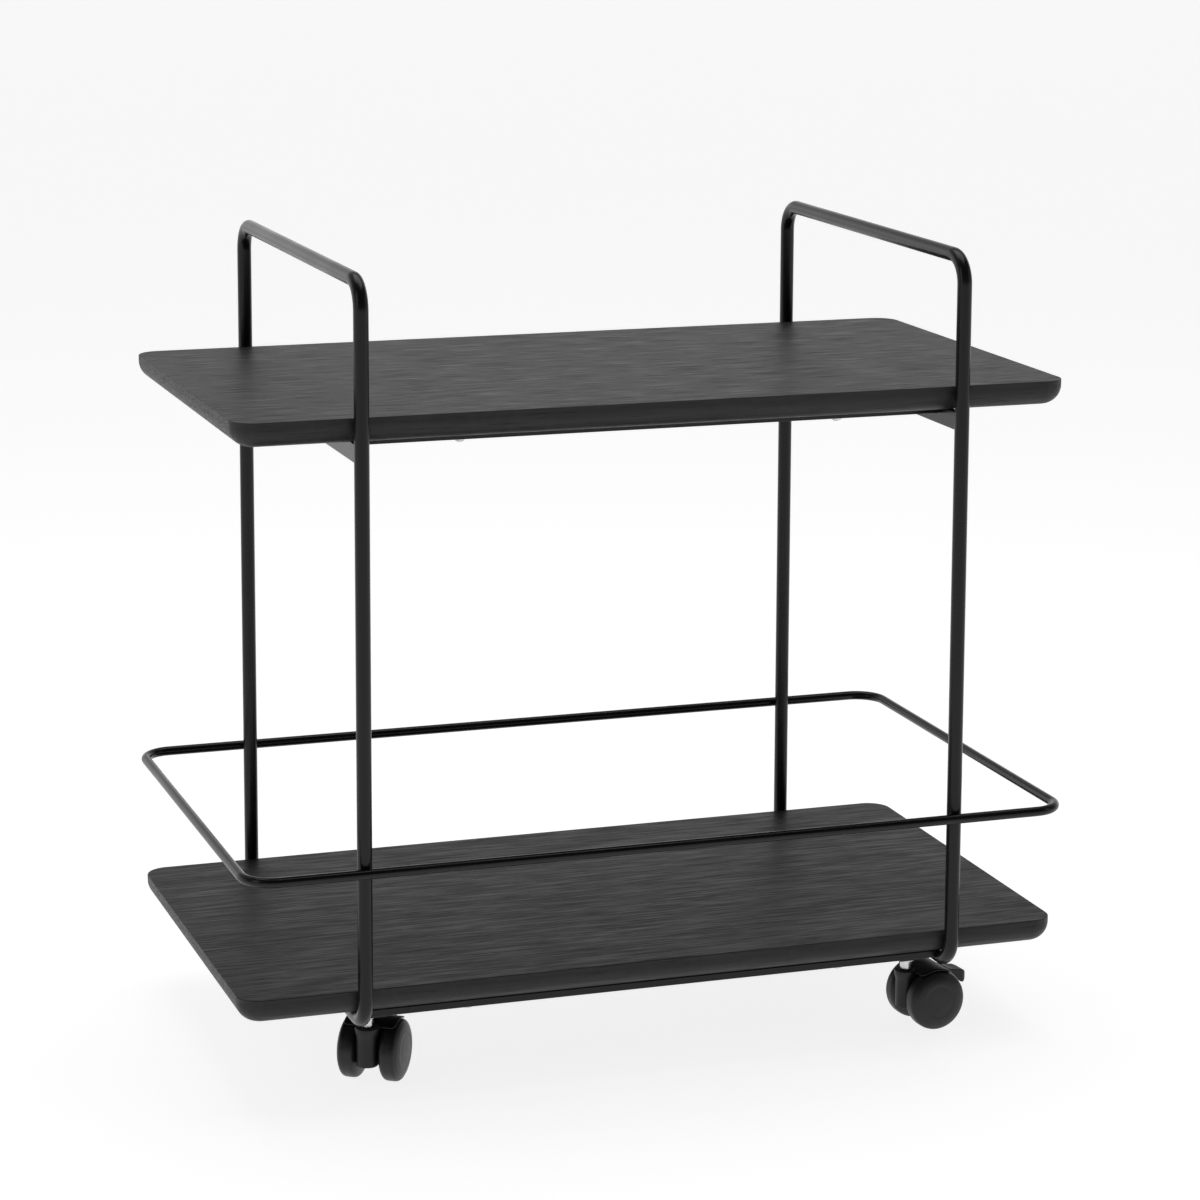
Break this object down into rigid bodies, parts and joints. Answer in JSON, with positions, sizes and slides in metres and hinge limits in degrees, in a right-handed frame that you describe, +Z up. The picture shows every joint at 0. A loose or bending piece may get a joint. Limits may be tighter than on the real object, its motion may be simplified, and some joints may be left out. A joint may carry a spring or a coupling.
{
  "type": "serving cart",
  "caption": "Two-shelf serving cart: wooden shelves on bent round-bar hoops with a guard rail, on swivelling twin-wheel casters.",
  "frame": {"origin": "on the floor, under the centre of the cart", "axes": "+X to the right along the shelves, +Y to the rear, +Z up"},
  "size_m": [0.702, 0.4172, 0.6673],
  "materials": {
    "black_stained_wood": "matt black stain over open oak grain",
    "black_steel": "satin black powder coat",
    "black_plastic": "fine moulded texture",
    "wheel_plastic": "satin, smooth tread",
    "zinc_plated_steel": "bright zinc plate"
  },
  "bodies": {
    "cart": {"hoop_left": "black_steel", "hoop_right": "black_steel", "guard_rail": "black_steel", "upper_crossbar_left": "black_steel", "upper_crossbar_right": "black_steel", "upper_stretcher_front": "black_steel", "upper_stretcher_rear": "black_steel", "lower_stretcher_front": "black_steel", "lower_stretcher_rear": "black_steel", "upper_shelf": "black_stained_wood", "lower_shelf": "black_stained_wood", "upper_screw_front_left": "zinc_plated_steel", "upper_screw_front_right": "zinc_plated_steel", "upper_screw_rear_left": "zinc_plated_steel", "upper_screw_rear_right": "zinc_plated_steel", "lower_screw_front_left": "zinc_plated_steel", "lower_screw_front_right": "zinc_plated_steel", "lower_screw_rear_left": "zinc_plated_steel", "lower_screw_rear_right": "zinc_plated_steel", "caster_plate_front_left": "black_steel", "stem_nut_front_left": "zinc_plated_steel", "stem_front_left": "zinc_plated_steel", "caster_plate_front_right": "black_steel", "stem_nut_front_right": "zinc_plated_steel", "stem_front_right": "zinc_plated_steel", "caster_plate_rear_left": "black_steel", "stem_nut_rear_left": "zinc_plated_steel", "stem_rear_left": "zinc_plated_steel", "caster_plate_rear_right": "black_steel", "stem_nut_rear_right": "zinc_plated_steel", "stem_rear_right": "zinc_plated_steel"},
    "caster_front_left": {"caster_housing_front_left": "black_plastic", "stem_clip_front_left": "zinc_plated_steel", "axle_front_left": "zinc_plated_steel", "brake_pin_front_left": "zinc_plated_steel"},
    "wheel_front_left_a": {"wheel_front_left_a": "wheel_plastic"},
    "wheel_front_left_b": {"wheel_front_left_b": "wheel_plastic"},
    "brake_lever_front_left": {"brake_lever_front_left": "black_plastic"},
    "caster_front_right": {"caster_housing_front_right": "black_plastic", "stem_clip_front_right": "zinc_plated_steel", "axle_front_right": "zinc_plated_steel", "brake_pin_front_right": "zinc_plated_steel"},
    "wheel_front_right_a": {"wheel_front_right_a": "wheel_plastic"},
    "wheel_front_right_b": {"wheel_front_right_b": "wheel_plastic"},
    "brake_lever_front_right": {"brake_lever_front_right": "black_plastic"},
    "caster_rear_left": {"caster_housing_rear_left": "black_plastic", "stem_clip_rear_left": "zinc_plated_steel", "axle_rear_left": "zinc_plated_steel"},
    "wheel_rear_left_a": {"wheel_rear_left_a": "wheel_plastic"},
    "wheel_rear_left_b": {"wheel_rear_left_b": "wheel_plastic"},
    "caster_rear_right": {"caster_housing_rear_right": "black_plastic", "stem_clip_rear_right": "zinc_plated_steel", "axle_rear_right": "zinc_plated_steel"},
    "wheel_rear_right_a": {"wheel_rear_right_a": "wheel_plastic"},
    "wheel_rear_right_b": {"wheel_rear_right_b": "wheel_plastic"}
  },
  "joints": [
    {"name": "swivel_front_left", "type": "hinge", "parent": "cart", "child": "caster_front_left", "pos_m": [-0.2355, -0.1384, 0.045], "axis": [0, 0, 1], "continuous": true},
    {"name": "spin_front_left_a", "type": "hinge", "parent": "caster_front_left", "child": "wheel_front_left_a", "pos_m": [-0.21062, -0.13299, 0.0254], "axis": [-0.829, 0.5592, 0], "continuous": true},
    {"name": "spin_front_left_b", "type": "hinge", "parent": "caster_front_left", "child": "wheel_front_left_b", "pos_m": [-0.2398, -0.1133, 0.0254], "axis": [-0.829, 0.5592, 0], "continuous": true},
    {"name": "brake_front_left", "type": "hinge", "parent": "caster_front_left", "child": "brake_lever_front_left", "pos_m": [-0.22012, -0.1156, 0.04], "axis": [-0.829, 0.5592, 0], "range_deg": [0, 15]},
    {"name": "swivel_front_right", "type": "hinge", "parent": "cart", "child": "caster_front_right", "pos_m": [0.2355, -0.1384, 0.045], "axis": [0, 0, 1], "continuous": true},
    {"name": "spin_front_right_a", "type": "hinge", "parent": "caster_front_right", "child": "wheel_front_right_a", "pos_m": [0.25564, -0.15398, 0.0254], "axis": [-0.1045, 0.9945, 0], "continuous": true},
    {"name": "spin_front_right_b", "type": "hinge", "parent": "caster_front_right", "child": "wheel_front_right_b", "pos_m": [0.25196, -0.11897, 0.0254], "axis": [-0.1045, 0.9945, 0], "continuous": true},
    {"name": "brake_front_right", "type": "hinge", "parent": "caster_front_right", "child": "brake_lever_front_right", "pos_m": [0.26285, -0.13553, 0.04], "axis": [-0.1045, 0.9945, 0], "range_deg": [0, 15]},
    {"name": "swivel_rear_left", "type": "hinge", "parent": "cart", "child": "caster_rear_left", "pos_m": [-0.2355, 0.1384, 0.045], "axis": [0, 0, 1], "continuous": true},
    {"name": "spin_rear_left_a", "type": "hinge", "parent": "caster_rear_left", "child": "wheel_rear_left_a", "pos_m": [-0.2286, 0.16291, 0.0254], "axis": [-0.8829, -0.4695, 0], "continuous": true},
    {"name": "spin_rear_left_b", "type": "hinge", "parent": "caster_rear_left", "child": "wheel_rear_left_b", "pos_m": [-0.25968, 0.14638, 0.0254], "axis": [-0.8829, -0.4695, 0], "continuous": true},
    {"name": "swivel_rear_right", "type": "hinge", "parent": "cart", "child": "caster_rear_right", "pos_m": [0.2355, 0.1384, 0.045], "axis": [0, 0, 1], "continuous": true},
    {"name": "spin_rear_right_a", "type": "hinge", "parent": "caster_rear_right", "child": "wheel_rear_right_a", "pos_m": [0.21202, 0.14824, 0.0254], "axis": [0.3584, -0.9336, 0], "continuous": true},
    {"name": "spin_rear_right_b", "type": "hinge", "parent": "caster_rear_right", "child": "wheel_rear_right_b", "pos_m": [0.22463, 0.11538, 0.0254], "axis": [0.3584, -0.9336, 0], "continuous": true}
  ]
}
